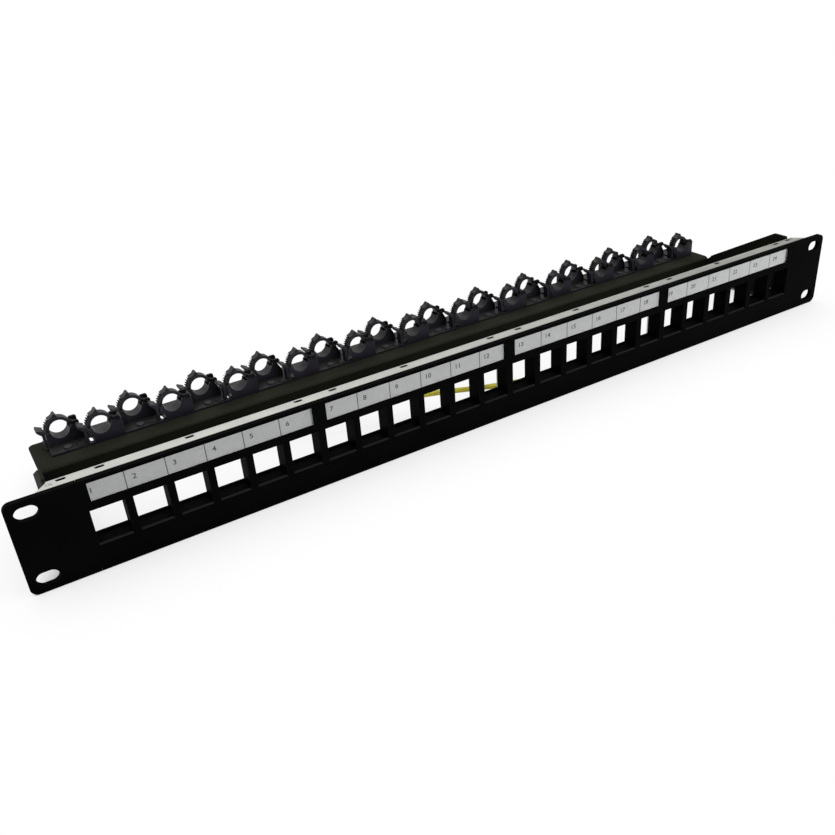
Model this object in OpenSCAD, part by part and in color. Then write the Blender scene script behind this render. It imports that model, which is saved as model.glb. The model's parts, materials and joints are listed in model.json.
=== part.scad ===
// Rack patch panel, one unit high, with 24 empty jack openings.
// Four snap-in bezels sit on a folded steel frame between two rack ears. A bracket behind the
// frame carries four strips of ratchet cable clips, one clip for each opening.
// X runs along the row of openings, Y runs to the back, Z is up. Y = 0 is the rear face of the
// ears, which rests on the rack, and the origin is the middle of the four rack slots.

/* [Panel] */
// Width over both ears
panel_w = 482.6; // [481:0.1:484]
// Height of the front face, one rack unit less its play
panel_h = 44; // [43.6:0.1:44.4]
// Thickness of the front face
face_t = 2.6; // [2.4:0.1:3.2]
// Width of an ear
ear_w = 28.4; // [28:0.1:29]
// Radius of the outer corners of the ears
ear_corner_r = 3.5; // [1:0.5:4]
// Length of a rack slot from end to end
slot_len = 9.4; // [9:0.1:11]
// Height of a rack slot
slot_h = 6.4; // [6:0.1:7]
// Distance from the outer edge of an ear to the middle of its slots
slot_edge = 8; // [7.8:0.1:9]
// Distance between the upper and the lower rack slot
slot_rise = 31.75; // [31.5:0.05:32]

/* [Openings] */
// Seam between two bezels, and between bezel and ear
seam = 0.2; // [0.1:0.05:0.4]
// Width of a jack opening
port_w = 14.3; // [13.8:0.1:14.9]
// Height of a jack opening
port_h = 16.4; // [15.6:0.1:16.6]
// Height of the middle of the openings above the middle of the panel
port_z = -0.75; // [-1:0.05:-0.5]
// Wall above and below the openings, behind the face
port_wall = 2.05; // [1.6:0.05:2.2]
// Height of the ridge that a jack's catch drops behind
ridge_h = 0.75; // [0.4:0.05:1]
// Bevel along the lower front edge of an opening
sill_bevel = 0.7; // [0.3:0.1:1]

/* [Labels] */
// Rim of the bezel beside each end of the label recess
recess_rim = 3.2; // [2.4:0.1:4]
// Height of the label recess
recess_h = 8.8; // [8:0.1:9.2]
// Depth of the label recess
recess_d = 1.7; // [1.5:0.1:1.9]
// Distance from the top of the panel to the middle of the label
label_drop = 6.3; // [6.2:0.1:6.6]
// Thickness of the printed strip
paper_t = 0.2; // [0.1:0.05:0.3]
// Thickness of the clear cover
cover_t = 1; // [0.8:0.1:1.1]
// Height of the finger groove at the right end of the cover
grip_h = 2.4; // [1.6:0.1:3]
// Depth of the finger groove
grip_d = 0.3; // [0.2:0.05:0.4]

/* [Frame] */
// Thickness of the frame's sheet
sheet_t = 1; // [0.8:0.1:1.2]
// Distance from the rear of the ears to the back of the frame
frame_d = 7.5; // [7.2:0.1:8.5]
// How far the flanges lie under the edge of the face
flange_drop = 0.3; // [0.2:0.05:0.5]
// How far the flanges reach behind an ear
tip_reach = 15.6; // [13:0.1:17]
// Bevel at the ends of the flanges
tip_bevel = 5.5; // [4:0.1:6]
// Length of a slot for a snap tab
tab_slot_l = 4.2; // [3.8:0.1:5]
// Width of a slot for a snap tab
tab_slot_w = 2; // [1.8:0.1:2.2]
// Distance from the rear of the ears to the middle of the tab slots
tab_y = 4.8; // [4.4:0.1:5]
// Radius of the pressed dimple near each end of the flanges
dimple_r = 1.3; // [1:0.1:1.6]

/* [Bracket] */
// Thickness of the bracket's sheet
plate_t = 1.5; // [1.2:0.1:1.8]
// Distance from the inner edge of an ear to the outside of a bracket arm
arm_reach = 11.1; // [10.8:0.1:12]
// How far the arms stay below the top and above the bottom of the panel
arm_drop = 0.8; // [0.5:0.1:1.5]
// Distance from the rear of the ears to the back plate's rear face
back_y = 69; // [66:0.5:72]
// Where the top edge of an arm turns down
knee_y = 19.1; // [16:0.1:22]
// Radius of that turn
knee_r = 4; // [2:0.5:6]
// Height of the arm's sloping edge where it reaches the back plate
slope_end_z = -5.8; // [-7:0.1:-4]
// Height of the tray's upper face
tray_z = -6; // [-7:0.1:-5]
// Depth of the tray behind the back plate
tray_d = 28.5; // [27:0.5:31]
// Distance from the outside of an arm to the end of the tray
tray_inset = 2.8; // [2.6:0.1:3.6]
// Radius of the tray's rear corners
tray_corner_r = 3; // [1:0.5:6]
// Radius on the outside of the bracket's bends
bend_r = 3; // [2.4:0.1:4]

/* [Clips] */
// Distance from the end of the tray to the end of the row of clips
row_inset = 6.76; // [6.4:0.02:8]
// Distance from the front row to the rear row
row_step = 8.5; // [8:0.1:9]
// Radius of the round space in a closed clip
clip_bore_r = 4.5; // [4.3:0.05:4.6]
// Depth of the fixed half of a clip, along the cable
clip_depth = 7; // [6.8:0.1:7.4]
// Depth of a jaw, along the cable
jaw_depth = 3.8; // [3:0.1:4]
// Height of the middle of a clip above its strip
clip_rise = 7.8; // [7.6:0.1:8.2]
// Thickness of the strip under the clips
strip_t = 1.2; // [1:0.1:1.4]
// Width of the strip behind the rear row
strip_lip = 2.7; // [1.5:0.1:3]
// Distance from the rear edge of the strips to the rear edge of the tray
strip_back = 1.5; // [1:0.1:2.5]
// Distance from the middle of a clip to its hinge, sideways
hinge_dx = 6.6; // [6.5:0.05:6.7]
// Distance from the middle of a clip to its hinge, upwards
hinge_dz = 0.2; // [0.1:0.05:0.3]
// Thickness of the jaw's band
band_t = 1.3; // [1.1:0.05:1.4]
// Height of a ratchet tooth
tooth_h = 0.7; // [0.4:0.05:0.8]
// Angle from one ratchet tooth to the next
tooth_step = 8; // [6:0.5:9]

/* [Earth lead] */
// Outer diameter of the lead
lead_d = 2.8; // [2.4:0.1:3]
// Outer radius of a lug's ring
lug_r = 4; // [3.6:0.1:4.2]
// Outer radius of a lug's barrel
barrel_r = 2.2; // [2:0.1:2.4]
// Length of a lug's barrel
barrel_l = 6; // [5:0.5:7]

/* [Hidden] */
$fn = 48;

bezels = 4;
ports = 6;

// Clear fit between pieces that are pushed together, and the play of a turning joint
fit = 0.15;
play = 0.3;
// How far a cut runs past the surface it opens, and how far fused shapes reach into each other
past = 1;
lap = 0.5;

front_y = -face_t;
web_y = frame_d - sheet_t;
body_d = web_y - 0.2;
flange_z = panel_h / 2 - flange_drop;
shelf_z = flange_z - sheet_t - 0.5;
ear_in = panel_w / 2 - ear_w;
slot_x = panel_w / 2 - slot_edge;
bezel_pitch = (2 * ear_in - seam) / bezels;
bezel_w = bezel_pitch - seam;
port_pitch = bezel_w / ports;
recess_w = bezel_w - 2 * recess_rim;
label_z = panel_h / 2 - label_drop;
tip_half = ear_in + tip_reach;
web_half = tip_half - tip_bevel - 0.1;

block_w = ports * port_pitch - 1;
block_lo = port_z - port_h / 2 - port_wall;
block_hi = port_z + port_h / 2 + port_wall;
window_w = bezel_w - 2.6;
window_past = 2;
window_lo = block_lo - 0.55;
window_hi = block_hi + 0.55;

// Snap tabs of a bezel, from its middle, and of an ear, from the middle of the panel
tab_xs = [10.8 - bezel_w / 2, -4.1, bezel_w / 2 - 6.4];
ear_tab_x = ear_in + 4.4;
tab_w = tab_slot_l - 0.8;
tab_t = tab_slot_w - 0.7;

// Screws that hold bracket, frame and ears together
boss_x = ear_in + 4.7;
boss_z = 12;
boss_r = 3.5;
screw_r = 1.4;
screw_head_r = 2.8;
screw_head_h = 2;

arm_half = ear_in + arm_reach;
arm_h = panel_h - 2 * arm_drop;
foot_w = 11.4;
foot_in = arm_half - foot_w;
tray_half = arm_half - tray_inset;
tray_end_y = back_y + tray_d;
tray_t = plate_t;
bend_y = back_y - plate_t + bend_r;
bend_z = tray_z - bend_r;

// Two rows of clips, which stand in turn in the rear and the front row
clip_pitch = 2 * (tray_half - row_inset) / (bezels * ports);
strip_end_y = tray_end_y - strip_back;
rear_row_y = strip_end_y - strip_lip - clip_depth;
front_row_y = rear_row_y - row_step;
split_y = (front_row_y + clip_depth + rear_row_y) / 2;
strip_top = tray_z + strip_t;
clip_z = strip_top + clip_rise;
cheek_w = 1.2;
cheek_r = 1.45;
knuckle_r = cheek_r - play;
pin_r = 0.7;
// Room between the cheeks, under the knuckle and to the right where the open jaw leans over
knuckle_room = knuckle_r + play + 0.05;
swing_room = 2.2;
band_r = clip_bore_r + band_t;
band_from = 8;
band_to = 180;
first_tooth = 131;
// Top of the saddle, and its sides from the middle of a clip
saddle_z = -0.35;
saddle_in = -5.9;
saddle_out = hinge_dx + cheek_r;
wall_out = 10.2;
// Left side of the saddle's foot
saddle_foot = -4.3;
// Catch arm: its inner and outer face, where arm and thumb rest start and end along the cable, and
// the tip of the thumb rest
arm_in = -7.2;
arm_out = -8.5;
arm_y = [0.4, 4.4];
thumb_y = [0.5, 6.6];
thumb_tip = [-10.3, 2.3];

// Rivet, locating pad and drain slot, from the middle of a rear clip
rivet_dx = 0.8;
rivet_y = front_row_y + 3;
rivet_r = 1.1;
pad_dx = 7.3;
pad_y = front_row_y + 2.1;
drain_dx = 12.4;
drain_l = 9;
drain_y = front_row_y + 2 + drain_l / 2;
drain_w = 2;

// Ends of the earth lead: ring middles on the back plate and on the frame
lug_t = 1;
lug_reach = 6;
earth_r = 1.9;
earth_head_r = 3.4;
earth_head_h = 2.2;
// Straight stretch of the lead at each lug
lead_end = 5;
lug_a_in = 54;
lug_b_dx = 0.8;
lug_a = [lug_a_in - arm_half, back_y - plate_t, lug_r + 0.7 - arm_h / 2];
lug_b = [bezel_x(3) + lug_b_dx, frame_d, lug_r + 1.7 - flange_z];

// Route of the lead, chosen by eye: shares of the way from lug to lug along X and Y, and the height
// above the first lug
lead_from = lug_a + [lug_reach + barrel_l, -barrel_r, 0];
lead_to = lug_b + [-lug_reach - barrel_l, barrel_r, 0];
lead_bends = [
    [0.07, 0.049, 1.5],
    [0.19, 0.203, 4.5],
    [0.34, 0.365, 5.7],
    [0.49, 0.536, 6.1],
    [0.647, 0.718, 5.6],
    [0.72, 0.79, 4.4],
    [0.796, 0.862, 3],
    [0.884, 0.93, 1.9],
    [0.94, 0.984, 0.9]
];
lead_path = concat(
    [lead_from, lead_from + [lead_end, 0, 0]],
    [for (b = lead_bends)
        lead_from + [
            b[0] * (lead_to[0] - lead_from[0]),
            b[1] * (lead_to[1] - lead_from[1]),
            b[2]
        ]],
    [lead_to - [lead_end, 0, 0], lead_to]
);

function bezel_x(i) = (i - (bezels + 1) / 2) * bezel_pitch;
function port_dx(k) = (k - (ports + 1) / 2) * port_pitch;
// Strip i from the left, place k in its strip, clip n of the whole panel and the front of its row
function strip_x(i) = (i - (bezels + 1) / 2) * ports * clip_pitch;
function clip_dx(k) = (k - (ports + 1) / 2) * clip_pitch;
function clip_x(n) = (n - (bezels * ports + 1) / 2) * clip_pitch;
function row_y(n) = n % 2 == 1 ? rear_row_y : front_row_y;
function polar(r, a) = [r * cos(a), r * sin(a)];

function unit(v) = v / norm(v);
// A point at share t of the way from b to c on a smooth curve through a, b, c and d
function curve(a, b, c, d, t) =
    0.5 * (2 * b + (c - a) * t + (2 * a - 5 * b + 4 * c - d) * t * t
        + (3 * b - a - 3 * c + d) * t * t * t);
function path_at(p, i) =
    i < 0 ? 2 * p[0] - p[1]
    : i >= len(p) ? 2 * p[len(p) - 1] - p[len(p) - 2]
    : p[i];
function smooth_path(p, steps) = concat(
    [for (i = [0:len(p) - 2]) for (s = [0:steps - 1])
        curve(path_at(p, i - 1), p[i], p[i + 1], path_at(p, i + 2), s / steps)],
    [p[len(p) - 1]]
);
function heading(p, i) =
    i == 0 ? unit(p[1] - p[0])
    : i == len(p) - 1 ? unit(p[i] - p[i - 1])
    : unit(p[i + 1] - p[i - 1]);
// A circle of points around point i of a path, across its heading
function ring(p, i, r, sides) =
    let (
        t = i == 0 || i == len(p) - 1 ? [1, 0, 0] : heading(p, i),
        side = unit(cross(t, [0, 0, 1])),
        up = cross(side, t)
    )
    [for (k = [0:sides - 1])
        p[i] + r * (cos(360 * k / sides) * side + sin(360 * k / sides) * up)];

// Flat shape in Y and Z, extruded along X about the middle of the panel
module along_x(length) {
    rotate([90, 0, 90]) linear_extrude(length, center = true) children();
}

// Flat shape in X and Z, extruded towards the back from y
module along_y(y, length) {
    translate([0, y + length, 0]) rotate([90, 0, 0]) linear_extrude(length) children();
}

// Round bar towards the back, from y
module bar_y(x, y, z, r, length) {
    translate([x, y, z]) rotate([-90, 0, 0]) cylinder(r = r, h = length);
}

// Box from one corner to the opposite one
module block(a, b) {
    translate(a) cube(b - a);
}

module rounded(a, b, r) {
    translate([a[0] + r, a[1]]) square([b[0] - a[0] - 2 * r, b[1] - a[1]]);
    translate([a[0], a[1] + r]) square([b[0] - a[0], b[1] - a[1] - 2 * r]);
    for (x = [a[0] + r, b[0] - r]) {
        for (y = [a[1] + r, b[1] - r]) {
            translate([x, y]) circle(r);
        }
    }
}

// Flat slot with round ends, lying along the first axis
module slot(length, width) {
    square([length - width, width], center = true);
    for (s = [-1, 1]) {
        translate([s * (length - width) / 2, 0]) circle(d = width);
    }
}

// Rib with a snap tab that stands in a slot of a flange; s is 1 for the upper flange
module snap_tab(x, from_z, s) {
    z = shelf_z;
    mirror([0, 0, s < 0 ? 1 : 0]) {
        block([x - 1.2, -lap, from_z], [x + 1.2, body_d - 0.4, z]);
        block([x - tab_w / 2, -lap, z - 1.5], [x + tab_w / 2, body_d - 0.4, z]);
        block(
            [x - tab_w / 2, tab_y - tab_t / 2, z - lap],
            [x + tab_w / 2, tab_y + tab_t / 2, flange_z - 0.15]
        );
    }
}

// Bezel: face plate, six jack tunnels, label recess and snap tabs
module bezel(i) {
    half = panel_h / 2;
    lo = port_z - port_h / 2;
    hi = port_z + port_h / 2;
    color("#0c0c0d") translate([bezel_x(i), 0, 0]) {
        difference() {
            union() {
                block([-bezel_w / 2, front_y, -half], [bezel_w / 2, 0, half]);
                block([-block_w / 2, -lap, block_lo], [block_w / 2, body_d, block_hi]);
            }
            for (k = [1:ports]) {
                block(
                    [port_dx(k) - port_w / 2, front_y - past, lo],
                    [port_dx(k) + port_w / 2, body_d + past, hi]
                );
                // bevel along the sill
                translate([port_dx(k), 0, 0]) along_x(port_w) polygon([
                    [front_y - past, lo + lap],
                    [front_y - past, lo - sill_bevel - past],
                    [front_y, lo - sill_bevel],
                    [front_y + sill_bevel, lo],
                    [front_y + sill_bevel, lo + lap]
                ]);
                // pocket in the roof for the jack's spring latch
                block(
                    [port_dx(k) - 4, body_d - 3.4, hi - lap],
                    [port_dx(k) + 4, body_d - 1.2, hi + 0.9]
                );
            }
            block(
                [-recess_w / 2, front_y - past, label_z - recess_h / 2],
                [recess_w / 2, front_y + recess_d, label_z + recess_h / 2]
            );
        }
        for (k = [1:ports]) {
            block(
                [port_dx(k) - port_w / 2 - lap, body_d - 1.2, lo - lap],
                [port_dx(k) + port_w / 2 + lap, body_d, lo + ridge_h]
            );
        }
        for (x = tab_xs) {
            snap_tab(x, block_hi - lap, 1);
            snap_tab(x, -block_lo - lap, -1);
        }
    }
}

// Printed number strip on the floor of the label recess
module label(i) {
    w = recess_w - 4 * fit;
    h = recess_h - 2 * fit;
    y = front_y + recess_d;
    color("#b9bbb8") translate([bezel_x(i), 0, label_z]) {
        block([-w / 2, y - paper_t, -h / 2], [w / 2, y, h / 2]);
    }
}

// Clear cover in front of the number strip, with a shallow finger groove near its right end
module label_cover(i) {
    w = recess_w - 2 * fit;
    h = recess_h - 2 * fit;
    y = front_y + recess_d - paper_t;
    color("#dfe4e4", 0.4) translate([bezel_x(i), 0, label_z]) {
        difference() {
            block([-w / 2, y - cover_t, -h / 2], [w / 2, y, h / 2]);
            block(
                [w / 2 - 3, y - cover_t - past, -grip_h / 2],
                [w / 2 - 2, y - cover_t + grip_d, grip_h / 2]
            );
        }
    }
}

// Rack ear: face plate with two slots, screw bosses and snap tabs; s is 1 for the right ear
module ear(s) {
    half = panel_h / 2;
    color("#0b0b0c") mirror([s < 0 ? 1 : 0, 0, 0]) {
        difference() {
            union() {
                along_y(front_y, face_t) intersection() {
                    rounded([0, -half], [panel_w / 2, half], ear_corner_r);
                    translate([ear_in, -half]) square([panel_w, panel_h]);
                }
                for (z = [-boss_z, boss_z]) {
                    bar_y(boss_x, -lap, z, boss_r, web_y + lap);
                }
            }
            for (z = [-1, 1]) {
                along_y(front_y - past, face_t + 2 * past) {
                    translate([slot_x, z * slot_rise / 2]) slot(slot_len, slot_h);
                }
                bar_y(boss_x, 1, z * boss_z, screw_r + 0.1, web_y);
            }
        }
        snap_tab(ear_tab_x, boss_z + boss_r - lap, 1);
        snap_tab(ear_tab_x, boss_z + boss_r - lap, -1);
    }
}

// Frame: sheet folded to a channel, with a window for each bezel and slots for the snap tabs
module frame() {
    rear_r = 1.5;
    color("#c4c6be") difference() {
        intersection() {
            along_x(2 * tip_half) difference() {
                rounded([-frame_d, -flange_z], [frame_d, flange_z], rear_r);
                rounded(
                    [-2 * frame_d, sheet_t - flange_z],
                    [web_y, flange_z - sheet_t],
                    rear_r - sheet_t
                );
                translate([-2 * frame_d, -panel_h]) square([2 * frame_d, 2 * panel_h]);
            }
            translate([0, 0, -panel_h]) linear_extrude(2 * panel_h) polygon([
                [-tip_half, 0],
                [tip_half, 0],
                [tip_half - tip_bevel, tip_bevel],
                [web_half, tip_bevel + 0.1],
                [web_half, frame_d + past],
                [-web_half, frame_d + past],
                [-web_half, tip_bevel + 0.1],
                [tip_bevel - tip_half, tip_bevel]
            ]);
        }
        for (i = [1:bezels]) {
            // the outer windows reach on behind the ears
            left = i == 1 ? window_past : 0;
            right = i == bezels ? window_past : 0;
            block(
                [bezel_x(i) - window_w / 2 - left, web_y - past, window_lo],
                [bezel_x(i) + window_w / 2 + right, frame_d + past, window_hi]
            );
            for (x = tab_xs) {
                translate([bezel_x(i) + x, tab_y, -panel_h]) linear_extrude(2 * panel_h) {
                    slot(tab_slot_l, tab_slot_w);
                }
            }
        }
        for (s = [-1, 1]) {
            translate([s * ear_tab_x, tab_y, -panel_h]) linear_extrude(2 * panel_h) {
                slot(tab_slot_l, tab_slot_w);
            }
            for (z = [-boss_z, boss_z]) {
                bar_y(s * boss_x, web_y - past, z, screw_r + 0.2, sheet_t + 2 * past);
            }
            for (z = [-1, 1]) {
                translate([s * (tip_half - tip_bevel - 0.7), 3, z * flange_z]) {
                    cylinder(r = dimple_r, h = sheet_t * 0.8, center = true);
                }
            }
        }
        bar_y(lug_b[0], web_y - past, lug_b[2], earth_r + 0.1, sheet_t + 2 * past);
    }
}

// Outline of the bracket's arms seen from the side
module arm_side() {
    top = arm_h / 2;
    slope = (top - slope_end_z) / (back_y - plate_t - knee_y);
    turn = atan(slope);
    run = knee_r * tan(turn / 2);
    notch_y = back_y - bend_r;
    polygon(concat(
        [
            [frame_d, 1.2 - top],
            [frame_d + bend_r - 0.6, 1.2 - top],
            [frame_d + bend_r, -top],
            [back_y, -top],
            [back_y, bend_z],
            [notch_y, top - (notch_y - knee_y) * slope]
        ],
        [for (k = [0:6])
            [knee_y - run, top - knee_r] + polar(knee_r, 90 - turn + turn * k / 6)],
        [
            [frame_d + bend_r, top],
            [frame_d + bend_r - 0.6, top - 1.2],
            [frame_d, top - 1.2]
        ]
    ));
}

// Bracket: two arms with feet on the frame, a back plate and a tray folded out behind it
module rear_bracket() {
    color("#28281f") difference() {
        union() {
            intersection() {
                translate([0, 0, -arm_h]) linear_extrude(2 * arm_h) difference() {
                    rounded([-arm_half, frame_d], [arm_half, back_y], bend_r);
                    rounded(
                        [plate_t - arm_half, frame_d + plate_t],
                        [arm_half - plate_t, back_y - plate_t],
                        bend_r - plate_t
                    );
                    translate([-foot_in, 0]) square([2 * foot_in, frame_d + 2 * plate_t]);
                }
                along_x(2 * arm_half + past) arm_side();
            }
            intersection() {
                along_x(2 * tray_half) {
                    translate([back_y - plate_t, bend_z - 4]) square([plate_t, 4 + 0.01]);
                    translate([bend_y - 0.01, tray_z - tray_t]) {
                        square([tray_end_y - bend_y + 0.01, tray_t]);
                    }
                    intersection() {
                        difference() {
                            translate([bend_y, bend_z]) circle(bend_r);
                            translate([bend_y, bend_z]) circle(bend_r - plate_t);
                        }
                        translate([bend_y - bend_r, bend_z]) square(bend_r);
                    }
                }
                translate([0, 0, -arm_h]) linear_extrude(2 * arm_h) {
                    rounded([-tray_half, back_y / 2], [tray_half, tray_end_y], tray_corner_r);
                }
            }
        }
        for (s = [-1, 1]) {
            for (z = [-boss_z, boss_z]) {
                bar_y(s * boss_x, frame_d - past, z, screw_r + 0.2, plate_t + 2 * past);
            }
        }
        for (n = [1:2:bezels * ports]) {
            translate([clip_x(n) + rivet_dx, rivet_y, tray_z - tray_t - past]) {
                cylinder(r = rivet_r + 0.1, h = tray_t + 2 * past);
            }
            drain(clip_x(n));
        }
        bar_y(lug_a[0], lug_a[1] - past, lug_a[2], earth_r + 0.1, plate_t + 2 * past);
    }
}

// Slot down through strip and tray beside the rear clip at x
module drain(x) {
    translate([x + drain_dx, drain_y, tray_z - tray_t - past]) {
        linear_extrude(tray_t + strip_t + past) {
            rotate(90) slot(drain_l, drain_w);
        }
    }
}

// Pan-head screws through the bracket's feet and the frame into the bosses of the ears
module bracket_screws() {
    y = frame_d + plate_t;
    color("#b8b9b4") for (s = [-1, 1]) {
        for (z = [-boss_z, boss_z]) {
            pan_screw([s * boss_x, y, z], screw_r, screw_head_r, screw_head_h, y - 1.5, 1);
        }
    }
}

// Screw with its head seated at p; the head points to the back when s is 1, else to the front
module pan_screw(p, r, head_r, head_h, length, s) {
    translate(p) rotate([0, 0, s > 0 ? 0 : 180]) difference() {
        union() {
            bar_y(0, 0, 0, head_r, head_h);
            bar_y(0, -length, 0, r, length + lap);
        }
        for (a = [0, 90]) {
            translate([0, head_h, 0]) rotate([0, a, 0]) {
                cube([head_r * 1.2, 2.2, 0.6], center = true);
            }
        }
    }
}

// Saddle of a clip from the front, about the clip's middle, with the right wall of a front clip
// or the sloping one of a rear clip
module saddle_outline(rear) {
    foot = -clip_rise - lap;
    difference() {
        polygon([
            [saddle_foot, foot],
            [saddle_out, foot],
            [saddle_out, saddle_z],
            [saddle_in, saddle_z]
        ]);
        circle(clip_bore_r);
    }
    polygon(concat(
        [[saddle_out - lap, foot], [wall_out, foot]],
        rear
            ? [[wall_out, -4.6], [9, -2], [saddle_out, saddle_z], [saddle_out - lap, saddle_z]]
            : [[wall_out, 1.1], [saddle_out - lap, 1.1]]
    ));
}

// Catch arm of a clip from the front, with its pawl
module catch_outline() {
    foot = -clip_rise - lap;
    polygon([
        [arm_in, foot],
        [arm_in, -0.9],
        [arm_in + 0.3, -0.2],
        [arm_in + 0.3, 0.2],
        [arm_in, 0.4],
        [arm_out, 0.9],
        [arm_out, foot]
    ]);
}

// Thumb rest on top of a catch arm, from the front
module thumb_outline() {
    polygon([
        [arm_in, 0.4],
        [arm_in - 0.1, 0.8],
        thumb_tip,
        thumb_tip - [0.3, 0.7],
        [arm_out, 0.2]
    ]);
}

// Cheek of a clip's hinge, from the front
module cheek_outline() {
    translate([hinge_dx, hinge_dz]) circle(cheek_r);
    translate([hinge_dx - cheek_r, saddle_z - lap]) {
        square([2 * cheek_r, hinge_dz - saddle_z + lap]);
    }
}

// Fixed half of the clip in place k of its strip
module clip_base(k) {
    y = row_y(k);
    translate([clip_dx(k), 0, clip_z]) {
        difference() {
            union() {
                along_y(y, clip_depth) saddle_outline(k % 2 == 1);
                along_y(y, cheek_w) cheek_outline();
                along_y(y + clip_depth - cheek_w, cheek_w) cheek_outline();
            }
            // room for the jaw's knuckle between the cheeks
            block(
                [clip_bore_r - 1, y + cheek_w, hinge_dz - knuckle_room],
                [hinge_dx + swing_room, y + clip_depth - cheek_w, hinge_dz + 3]
            );
            bar_y(hinge_dx, y - past, hinge_dz, pin_r + play, clip_depth + 2 * past);
        }
        along_y(y + arm_y[0], arm_y[1] - arm_y[0]) catch_outline();
        along_y(y + thumb_y[0], thumb_y[1] - thumb_y[0]) thumb_outline();
    }
}

// Strip of six clips in two staggered rows
module clip_strip(i) {
    // ends of the front half, and how far the rear half is shifted to carry the catch arms
    length = ports * clip_pitch;
    left = 1.51 - length / 2;
    right = left + length - 0.22;
    shift = 1.2;
    color("#1e1c24") translate([strip_x(i), 0, 0]) difference() {
        union() {
            block([left - shift, split_y + 0.1, tray_z], [right - shift, strip_end_y, strip_top]);
            block([left, front_row_y, tray_z], [right, split_y - 0.1, strip_top]);
            block([left, split_y - 0.3, tray_z], [right - shift, split_y + 0.3, strip_top]);
            for (k = [1:ports]) {
                clip_base(k);
            }
            for (k = [1:2:ports]) {
                block(
                    [clip_dx(k) + pad_dx - 1.9, pad_y - 1.3, strip_top - lap],
                    [clip_dx(k) + pad_dx + 1.9, pad_y + 1.3, strip_top + 0.6]
                );
            }
        }
        for (k = [1:2:ports]) {
            translate([clip_dx(k) + rivet_dx, rivet_y, tray_z - past]) {
                cylinder(r = rivet_r + 0.1, h = strip_t + 2 * past);
            }
            drain(clip_dx(k));
        }
    }
}

// Push rivets that hold the strips on the tray
module strip_rivets() {
    color("#5c5b60") for (n = [1:2:bezels * ports]) {
        translate([clip_x(n) + rivet_dx, rivet_y, 0]) {
            translate([0, 0, strip_top]) cylinder(r = 1.9, h = 0.9);
            translate([0, 0, tray_z - tray_t - lap]) {
                cylinder(r = rivet_r, h = tray_t + strip_t + 2 * lap);
            }
            translate([0, 0, tray_z - tray_t - 0.9]) cylinder(r = 1.6, h = 0.9);
        }
    }
}

// Jaw from the front: round band, ratchet teeth and two thumb spurs, about the clip's middle
module jaw_outline() {
    far = 2 * band_r;
    intersection() {
        difference() {
            circle(band_r);
            circle(clip_bore_r);
        }
        polygon([[0, 0], polar(far, band_from), [far, far], [-far, far], polar(far, band_to)]);
    }
    root = band_r - 0.2;
    for (a = [first_tooth:tooth_step:band_to - tooth_step]) {
        polygon([polar(root, a), polar(band_r + tooth_h, a + 0.6), polar(root, a + tooth_step)]);
    }
    polygon([polar(root, 90), polar(7.6, 95), polar(7.8, 98), polar(root, 104)]);
    polygon([polar(root, 110), polar(7, 124), polar(6.9, 127), polar(root, 130)]);
    // neck between band and knuckle
    polygon([
        polar(clip_bore_r + 0.1, band_from + 2),
        [hinge_dx, hinge_dz],
        [hinge_dx, hinge_dz + knuckle_r],
        polar(band_r - 0.1, band_from + 22)
    ]);
}

// Hinged jaw of clip n, closed, between the cheeks of its saddle
module clip_jaw(n) {
    y = row_y(n);
    jaw_y = y + (clip_depth - jaw_depth) / 2;
    color("#1d1b22") translate([clip_x(n), 0, clip_z]) {
        along_y(jaw_y, jaw_depth) jaw_outline();
        bar_y(hinge_dx, jaw_y, hinge_dz, knuckle_r, jaw_depth);
        bar_y(hinge_dx, y + 0.1, hinge_dz, pin_r, clip_depth - 0.2);
    }
}

// Insulated earth lead between the two lugs
module earth_lead() {
    sides = 8;
    line = smooth_path(lead_path, 4);
    last = len(line) - 1;
    color("#c8be28") polyhedron(
        points = [for (i = [0:last]) each ring(line, i, lead_d / 2, sides)],
        faces = concat(
            [[for (k = [sides - 1:-1:0]) k]],
            [for (i = [0:last - 1]) for (k = [0:sides - 1])
                let (n = (k + 1) % sides, a = i * sides, b = a + sides)
                [a + k, a + n, b + k]],
            [for (i = [0:last - 1]) for (k = [0:sides - 1])
                let (n = (k + 1) % sides, a = i * sides, b = a + sides)
                [a + n, b + n, b + k]],
            [[for (k = [0:sides - 1]) last * sides + k]]
        )
    );
}

// Ring lug with its ring seated at p; d points along X to its barrel, s from the seat outwards
module ring_lug(p, d, s) {
    translate(p) mirror([d < 0 ? 1 : 0, 0, 0]) mirror([0, s < 0 ? 1 : 0, 0]) {
        difference() {
            union() {
                bar_y(0, 0, 0, lug_r, lug_t);
                block([0, 0, -1.8], [lug_reach + 1, lug_t, 1.8]);
            }
            bar_y(0, -past, 0, earth_r + 0.2, lug_t + 2 * past);
        }
        translate([lug_reach, barrel_r, 0]) rotate([0, 90, 0]) cylinder(r = barrel_r, h = barrel_l);
    }
}

// Crimped ring lugs at both ends of the lead
module earth_lugs() {
    color("#c9cac6") {
        ring_lug(lug_a, 1, -1);
        ring_lug(lug_b, -1, 1);
    }
}

// Screws through the lugs
module earth_screws() {
    color("#b9bab6") {
        pan_screw(
            lug_a - [0, lug_t, 0],
            earth_r, earth_head_r, earth_head_h, lug_t + plate_t + 1.5, -1
        );
        pan_screw(
            lug_b + [0, lug_t, 0],
            earth_r, earth_head_r, earth_head_h, lug_t + sheet_t + 1.5, 1
        );
    }
}

frame();
ear(-1);  // ear_left
ear(1);  // ear_right
rear_bracket();
bracket_screws();
for (i = [1:bezels]) {
    bezel(i);
    label(i);
    label_cover(i);
    clip_strip(i);
}
strip_rivets();
for (n = [1:bezels * ports]) {
    clip_jaw(n);
}
earth_lead();
earth_lugs();
earth_screws();
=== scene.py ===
import json
import math

import bmesh
import bpy
from mathutils import Matrix, Vector


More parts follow.
